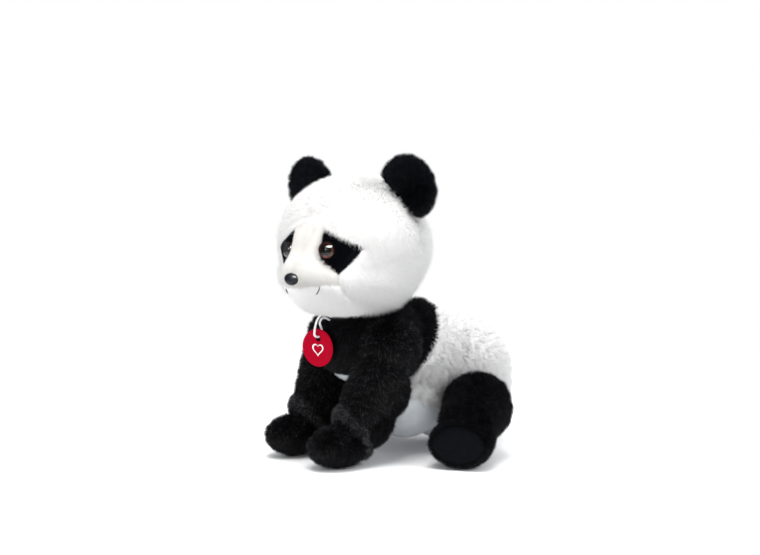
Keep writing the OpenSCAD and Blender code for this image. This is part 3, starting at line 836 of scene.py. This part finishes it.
def body_comb(p, n):
    q = p - T
    return np.stack([0.25 * q[:, 0] / 50, 0.45 + 0 * q[:, 0], -0.8 + 0 * q[:, 0]], 1)


def over_floor(p):
    """The yoke's pile is cut short at its lower edge."""
    a, b = yoke_side(p)
    return 6.0 - 4.0 * np.exp(-(a / 4) ** 2) * (b > 6)


body_pile = strands("body_pile", [skin["body"]], "white_pile", 46000, 8.2, 0.5, 0.8, body_comb, 41, mask=cover_mask,
                    noise=0.75, noise_size=6, tuft=4.2, gather=0.6, soft=0.5)
yoke_pile = strands("yoke_pile", [skin["yoke"]], "black_pile", 30000, over_floor, 0.46, 0.8, body_comb, 42,
                    mask=cover_mask, noise=0.4, noise_size=8, tuft=2.6, gather=0.35)
# its grey-blue tone is partly painted shade
belly_pile = strands("belly_pile", [skin["belly"]], "belly_pile", 16000, 2.0, 0.36, 1.15, body_comb, 43,
                     mask=cover_mask, noise=0.15, noise_size=9, tuft=1.5, gather=0.15)
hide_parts("shoulder_yoke")
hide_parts("belly_panel")
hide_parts("body_cover")
for o, sl in ((skin["yoke"], "black_pile"), (yoke_pile, "black_pile"), (skin["belly"], "white_smooth"),
              (belly_pile, "white_smooth"), (skin["body"], "white_pile"), (body_pile, "white_pile")):
    place(o, "torso", sl)

co, quads = remeshed([(T + (0, 112, 34), (8, 9, 5.5)), (T + (0, 104, 35), (6, 7, 4.5))], 1.5, 4)
tail_skin = add_mesh("tail_skin", co, quads, "white_cloth")
tail_pile = strands("tail_pile", [tail_skin], "white_pile", 5000, 6.5, 0.5, 0.6, combed(0, 0.8, -0.6), 44,
                    mask=lambda p, n: (p[:, 1] > 100).astype(float), gather=0.5)
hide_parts("tail")
for o in (tail_skin, tail_pile):
    place(o, "torso", "white_pile")

# ---- front legs ----

WRIST = math.radians(30)


def wrist_side(p, s):
    """Signed distance above the seam between leg and paw."""
    q = p - T - np.array([s * 31, -58, 32])
    return q[:, 2] * math.cos(WRIST) - q[:, 1] * math.sin(WRIST)


CUFF, CUFF_TOP = math.radians(63), 62


def cuff_side(p, s):
    """Signed distance behind the brushed cuff that rings the paw."""
    q = p - T - np.array([s * 31, -60.5, 26])
    return q[:, 2] * math.cos(CUFF) + q[:, 1] * math.sin(CUFF)


keep = off_body((CHEST, (40, 38, 36)), HEAD_BALL)
leg_comb = combed(0.0, 0.1, -1.0)
for s, w in SIDES:
    up, an = at(s, 35, -33, 74), at(s, 31, -54, 31)
    balls = [(at(s, 36, -24, 90), less((23, 27, 27), BLACK)), (at(s, 34, -33, 57), less((21.5, 28, 27), BLACK)),
             (at(s, 31.5, -44, 35.5), less((20.5, 25, 26), BLACK)),
             (at(s, 30, -68, 17), less((21, 29, 17.5), BLACK))]
    balls += [(up + (an - up) * t, [(23 - 4 * t) - BLACK] * 3) for t in np.linspace(0, 1, 7)]
    co, quads = remeshed(balls, 1.9, 6)
    nrm = vertex_normals(co, quads)
    cs = np.where(co[:, 2] < CUFF_TOP, cuff_side(co, s), 99)
    co = groove(co, nrm, cs, 0.9, 2.2)
    co = groove(co, nrm, cs - 4.2, -0.5, 2.8)
    co = co + nrm * (0.6 * wobble(co, 22, 7 + s)[:, :1])
    co[:, 2] = np.maximum(co[:, 2], 0.5 + 0.2 * np.abs(wobble(co, 12, 9)[:, 0]))
    mid = co[quads].mean(1)
    leg = wrist_side(mid, s) > 0
    sk = {"leg": piece("front_leg_skin_" + w, co, quads, leg, "black_cloth"),
          "paw": piece("front_paw_skin_" + w, co, quads, ~leg, "black_cloth")}

    def cuff(p):
        """One at the cuff's ridge, falling off along the leg."""
        return np.exp(-((cuff_side(p, s) - 4) / 3) ** 2) * (p[:, 2] < CUFF_TOP)

    # the leg's grey fibre tips are painted sheen of the brushed pile
    leg_pile = strands("front_leg_pile_" + w, [sk["leg"]], "brush_pile", 26000, lambda p: 5.6 + 1.4 * cuff(p), 0.44,
                       lambda p: 0.75 - 0.3 * cuff(p), leg_comb, 50 + s, mask=keep,
                       noise=0.4, noise_size=8, tuft=2.4, gather=0.35)
    # the ridge's many grey fibre tips are painted sheen where the brushed cuff stands up
    ridge_pile = strands("front_ridge_pile_" + w, [sk["leg"], sk["paw"]], "ridge_pile", 4200, 6.4, 0.4, 0.3,
                         leg_comb, 56 + s, noise=0.3, noise_size=7, tuft=2.0, gather=0.35,
                         mask=lambda p, n: (np.exp(-((cuff_side(p, s) - 4) / 2.2) ** 2)
                                            * (p[:, 2] > 3) * (p[:, 2] < 60)))
    paw_pile = strands("front_paw_pile_" + w, [sk["paw"]], "black_pile", 16000, 5.2, 0.44, 0.75,
                       combed(0.0, -0.9, -0.35), 53 + s, mask=keep,
                       noise=0.35, noise_size=8, tuft=2.4, gather=0.35)
    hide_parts("front_leg_" + w)
    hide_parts("front_paw_" + w)
    for o in (sk["leg"], leg_pile):
        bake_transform(o)
    for o in (sk["paw"], paw_pile, ridge_pile):
        place(o, w + "_foreleg", "black_brushed")

# ---- rear legs ----

YAW = math.radians(37)
ANKLE, FLAT = -12, 11.0                  # along the foot: its seam with the leg, and the flat sole


def along_foot(p, s):
    """Distance along the foot toward the toes, from the foot's middle."""
    q = (p - T) * np.array([s, 1, 1]) - np.array([86, 8, 20])
    return q @ np.array([math.sin(YAW), -math.cos(YAW), 0])


for s, w in SIDES:
    balls = [(at(s, 50, 54, 42), [24 - BLACK] * 3), (at(s, 64, 41, 41), [29 - BLACK] * 3),
             (at(s, 75, 24, 31), [26 - BLACK] * 3), (at(s, 86, 8, 20), less((27, 30, 21), BLACK), s * YAW)]
    co, quads = remeshed(balls, 1.9, 6)
    nrm = vertex_normals(co, quads)
    al = along_foot(co, s)
    co = groove(co, nrm, al - ANKLE, 1.6, 2.6)
    co = co + nrm * (0.6 * wobble(co, 22, 11 + s)[:, :1])
    al = along_foot(co, s)
    toe = np.array([s * math.sin(YAW), -math.cos(YAW), 0])
    over = np.clip(al - FLAT, 0, None)
    co = co - toe * (over - 1.6 * (1 - np.exp(-over / 2.5)))[:, None]
    co[:, 2] = np.maximum(co[:, 2], 0.5 + 0.2 * np.abs(wobble(co, 12, 9)[:, 0]))
    mid = co[quads].mean(1)
    al = along_foot(mid, s)
    leg, sole = al < ANKLE, al > FLAT + 0.35
    sk = {"leg": piece("rear_leg_skin_" + w, co, quads, leg, "black_cloth"),
          "foot": piece("rear_foot_skin_" + w, co, quads, ~leg & ~sole, "black_cloth"),
          "sole": piece("sole_skin_" + w, co, quads, sole, "sole_cloth")}

    keep = off_body((LOIN, (42, 42, 43)), (RUMP, (46, 47, 52)))
    leg_pile = strands("rear_leg_pile_" + w, [sk["leg"]], "black_pile", 24000, 5.6, 0.44, 0.8,
                       combed(s * 0.25, -0.15, -1.0), 60 + s, mask=keep,
                       noise=0.4, noise_size=8, tuft=2.6, gather=0.35)
    foot_pile = strands("rear_foot_pile_" + w, [sk["foot"]], "black_pile", 13000, 5.0, 0.44, 0.75,
                        combed(s * 0.5, -0.8, -0.3), 63 + s, mask=keep,
                        noise=0.35, noise_size=8, tuft=2.4, gather=0.35)
    sole_pile = strands("sole_pile_" + w, [sk["sole"]], "sole_pile", 7000, 1.6, 0.34, 1.1,
                        combed(0, 0.0, -1.0), 66 + s,
                        mask=lambda p, n: (p[:, 2] > 1.2).astype(float), noise=0.1, gather=0.1)
    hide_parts("rear_leg_" + w)
    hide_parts("rear_foot_" + w)
    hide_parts("sole_" + w)
    for o, sl in ((sk["leg"], "black_pile"), (leg_pile, "black_pile"), (sk["foot"], "black_brushed"),
                  (foot_pile, "black_brushed"), (sk["sole"], "sole_smooth"), (sole_pile, "sole_smooth")):
        place(o, w + "_hindleg", sl)

# ---- tag and cord ----

HOLE = np.array([0, -67.5, 97.4])


def tag_out(p):
    """Tag-local x across, y up, z toward the front; the hole is the origin."""
    q = np.asarray(p, float)
    v = np.stack([q[:, 0], -q[:, 2], q[:, 1]], 1)
    return v @ rot_z(math.radians(18)).T + HOLE + T


CARD_R, CARD_DOWN, HOLE_R, BOW = 14.9, -7.4, 2.4, 0.0035     # the card's disc, its hole, how it bows


def tag_rings():
    """A card disc with a hole: outer edge, rolled rim, faces filled between rim and hole."""
    n = 96
    a = np.linspace(0, 2 * math.pi, n, endpoint=False)
    out = np.stack([CARD_R * np.cos(a), CARD_R * np.sin(a) + CARD_DOWN], 1)
    hole = np.stack([HOLE_R * np.cos(a), HOLE_R * np.sin(a)], 1)
    rings = []

    def rim(*steps):
        for k, z in steps:
            rings.append(np.c_[out * k + [0, CARD_DOWN * (1 - k)], np.full(n, z)])

    def face(z, *parts):
        for f in parts:
            rings.append(np.c_[hole + (out - hole) * f, np.full(n, z)])

    rim((1.0, -0.2), (1.0, 0.2), (0.985, 0.42), (0.95, 0.5))
    face(0.5, 0.66, 0.33)
    for k, z in ((1.12, 0.5), (1.0, 0.38), (1.0, -0.38), (1.12, -0.5)):
        rings.append(np.c_[hole * k, np.full(n, z)])
    face(-0.5, 0.33, 0.66)
    rim((0.95, -0.5), (0.985, -0.42))
    pts = np.concatenate(rings)
    m = len(rings)
    faces = [(i * n + k, i * n + (k + 1) % n, ((i + 1) % m) * n + (k + 1) % n, ((i + 1) % m) * n + k)
             for i in range(m) for k in range(n)]
    return pts, [t[::-1] for t in faces]


p, f = tag_rings()
p[:, 2] += BOW * p[:, 0] ** 2
tag = add_mesh("tag_disc", tag_out(p), f, "tag_red")
place(tag, "tag", "tag_red", "tag_card")

# a generic printed heart, both sides
tt = np.linspace(0, 2 * math.pi, 60, endpoint=False)
heart = np.stack([16 * np.sin(tt) ** 3,
                  13 * np.cos(tt) - 5 * np.cos(2 * tt) - 2 * np.cos(3 * tt) - np.cos(4 * tt)], 1) * 0.34
inner = heart * 0.80 + [0, -8.6]
heart[:, 1] -= 8.6
for nm, z in (("tag_print_front", 0.54), ("tag_print_back", -0.54)):
    pts = np.concatenate([np.c_[heart, np.full(60, z)], np.c_[inner, np.full(60, z)]])
    pts[:, 2] += BOW * pts[:, 0] ** 2
    f = [(k, (k + 1) % 60, 60 + (k + 1) % 60, 60 + k) for k in range(60)]
    place(add_mesh(nm, tag_out(pts), f, "tag_white"), "tag", "tag_red")

ROUTE = np.array([[1.2, -56, 113.5], [1.2, -60, 116], [1.2, -64, 116.6], [1.2, -67.5, 114.4],
                  [1.2, -70, 110.6], [1.2, -71.2, 106.8], [1, -71.6, 103.4], [0.4, -71.4, 100.6], [0.1, -69.8, 99.2],
                  [0, -67.5, 98.6], [-0.1, -65.2, 99.2], [-0.4, -63.6, 100.6], [-1, -63.4, 103.4],
                  [-1.2, -64.6, 106.8], [-1.2, -65.2, 109.6], [-1.2, -63.8, 112.2], [-1.2, -61, 113],
                  [-1.2, -58, 112], [-1.2, -55.6, 110.6]]) + T


def spline(pts, per):
    """Catmull-Rom through the points."""
    p = np.concatenate([[2 * pts[0] - pts[1]], pts, [2 * pts[-1] - pts[-2]]])
    out = []
    for i in range(1, len(p) - 2):
        for t in np.linspace(0, 1, per, endpoint=False):
            out.append(0.5 * (2 * p[i] + (p[i + 1] - p[i - 1]) * t
                              + (2 * p[i - 1] - 5 * p[i] + 4 * p[i + 1] - p[i + 2]) * t * t
                              + (3 * p[i] - p[i - 1] - 3 * p[i + 1] + p[i + 2]) * t ** 3))
    return np.array(out + [pts[-1]])


line = spline(ROUTE, 2)
# three plies twisted on the route
p, f = tube(line, 0.86, 12)
rows = np.repeat(np.arange(len(line)), 12)
cols = np.tile(np.arange(12), len(line)) / 12 * 2 * math.pi
ply = 1 + 0.07 * np.cos(3 * (cols + rows * 0.55))
p = line[rows] + (p - line[rows]) * ply[:, None]
cord = add_mesh("tag_loop", p, f, "cord_white")
place(cord, "torso", "cord_white", "tag_cord")

# ---- CAD pieces that stay: inner parts ----

INNER = [(nm + "stuffing" + w, "stuffing", "stuffing") for nm, w in (
    ("body_", ""), ("head_", ""), ("front_", "_left"), ("front_", "_right"), ("rear_", "_left"), ("rear_", "_right"))]
INNER += [("neck_gather", "backing", "backing"), ("neck_disc", "white_cloth", "backing"),
          ("face_washers", "washer", "washer")]
for nm, mat, slot in INNER:
    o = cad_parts[nm]
    o.data.materials.clear()
    o.data.materials.append(MAT[mat])

# ---- stage, light and camera ----

fm, fn_, fl, fb = tree("floor")
tc = shader(fn_, "TexCoord")
nz = shader(fn_, "TexNoise", Scale=1.5)
fl.new(tc.outputs["Object"], nz.inputs["Vector"])
rp = ramp(fn_, [(0.3, (0.93, 0.935, 0.945)), (0.7, (0.95, 0.953, 0.96))])
fl.new(nz.outputs["Fac"], rp.inputs[0])
fl.new(rp.outputs[0], fb.inputs["Base Color"])
set_(fb, Roughness=0.6, Specular_IOR_Level=0.2)
MAT["floor"] = fm
# the paper floor fades into the white sweep behind it
grad = shader(fn_, "VectorMath")
grad.operation = "LENGTH"
fl.new(tc.outputs["Object"], grad.inputs[0])
fade = shader(fn_, "MapRange", From_Min=0.24, From_Max=0.62, To_Min=1.0, To_Max=0.0)
fade.interpolation_type = "SMOOTHSTEP"
fl.new(grad.outputs["Value"], fade.inputs["Value"])
fl.new(fade.outputs[0], fb.inputs["Alpha"])
HALF = 900
floor = add_mesh("floor", [(x * HALF, y * HALF, 0) for x, y in ((-1, -1), (1, -1), (1, 1), (-1, 1))],
                 [(0, 1, 2, 3)], "floor")
floor.visible_transmission = False        # the clear domes do not lens the bright floor

world = bpy.data.worlds.new("studio")
bpy.context.scene.world = world
world.use_nodes = True
wn, wl = world.node_tree.nodes, world.node_tree.links
# white to the camera, softer as light, dark in mirrors and through the clear domes
bg = wn["Background"]
set_(bg, Color=(1, 1, 1, 1), Strength=1.0)
path = shader(wn, "LightPath")
dim = shader(wn, "Background", Color=(0.97, 0.985, 1.0, 1), Strength=0.8)
room = shader(wn, "Background", Color=(0.9, 0.95, 1.0, 1), Strength=0.04)
m1, m2 = shader(wn, "MixShader"), shader(wn, "MixShader")
through = shader(wn, "Math")
through.operation = "MAXIMUM"
wl.new(path.outputs["Is Glossy Ray"], through.inputs[0])
wl.new(path.outputs["Is Transmission Ray"], through.inputs[1])
wl.new(through.outputs[0], m1.inputs[0])
wl.new(dim.outputs[0], m1.inputs[1])
wl.new(room.outputs[0], m1.inputs[2])
wl.new(path.outputs["Is Camera Ray"], m2.inputs[0])
wl.new(m1.outputs[0], m2.inputs[1])
wl.new(bg.outputs[0], m2.inputs[2])
wl.new(m2.outputs[0], wn["World Output"].inputs[0])

AZ, EL, CAMERA_AWAY = math.radians(54), math.radians(6.5), 1.5
toward = Vector((math.sin(AZ) * math.cos(EL), -math.cos(AZ) * math.cos(EL), math.sin(EL)))
right = Vector((math.cos(AZ), math.sin(AZ), 0))
upv = toward.cross(right)
aim = Vector((0, CY * 0.001, 0.125)) - right * 0.0064 + upv * 0.0156


def light(name, direction, dist, size, power, color=(1, 1, 1), tall=None):
    ld = bpy.data.lights.new(name, "AREA")
    ld.shape, ld.size, ld.size_y, ld.energy, ld.color = "RECTANGLE", size, tall or size, power, color
    o = bpy.data.objects.new(name, ld)
    COLL.objects.link(o)
    v = Vector(direction).normalized()
    o.location = Vector((0, 0, 0.12)) + v * dist
    o.rotation_euler = v.to_track_quat("Z", "Y").to_euler()
    return o


big = [light("key", right * -0.12 + upv * 1.35 + toward * 0.5, 1.5, 0.9, 24, (1, 0.99, 0.975)),
       light("fill", right * 0.9 + upv * 0.5 + toward * 0.6, 1.8, 1.2, 15, (0.97, 0.985, 1)),
       light("low", right * -0.8 + upv * 0.05 + toward * 0.9, 1.8, 1.2, 13),
       light("rim", right * 0.4 + upv * 0.9 - toward * 0.9, 1.8, 1.2, 16)]
for o in big:                            # their mirror image in the eyes is the narrow window's alone
    o.visible_glossy = o.visible_transmission = False
windows = [light("window", right * 0.12 + upv * 0.6 + toward * 0.62, 0.8, 0.8, 60, tall=0.2),
           light("lamp", right * -0.5 + upv * 0.12 + toward * 0.8, 1.4, 0.2, 4)]
glints = bpy.data.collections.new("glints")
for name in ("eye_dome_left", "eye_dome_right", "nose_button"):
    glints.objects.link(bpy.data.objects[name])
for o in windows:
    o.visible_diffuse = o.visible_transmission = False
    o.light_linking.receiver_collection = glints

cam_data = bpy.data.cameras.new("camera")
cam = bpy.data.objects.new("camera", cam_data)
COLL.objects.link(cam)
cam.location = aim + toward * CAMERA_AWAY
cam.rotation_euler = toward.to_track_quat("Z", "Y").to_euler()
cam_data.sensor_width, cam_data.lens = 36, 88.8
cam_data.clip_end = 50
bpy.context.scene.camera = cam
bpy.context.scene.view_settings.view_transform = "Standard"
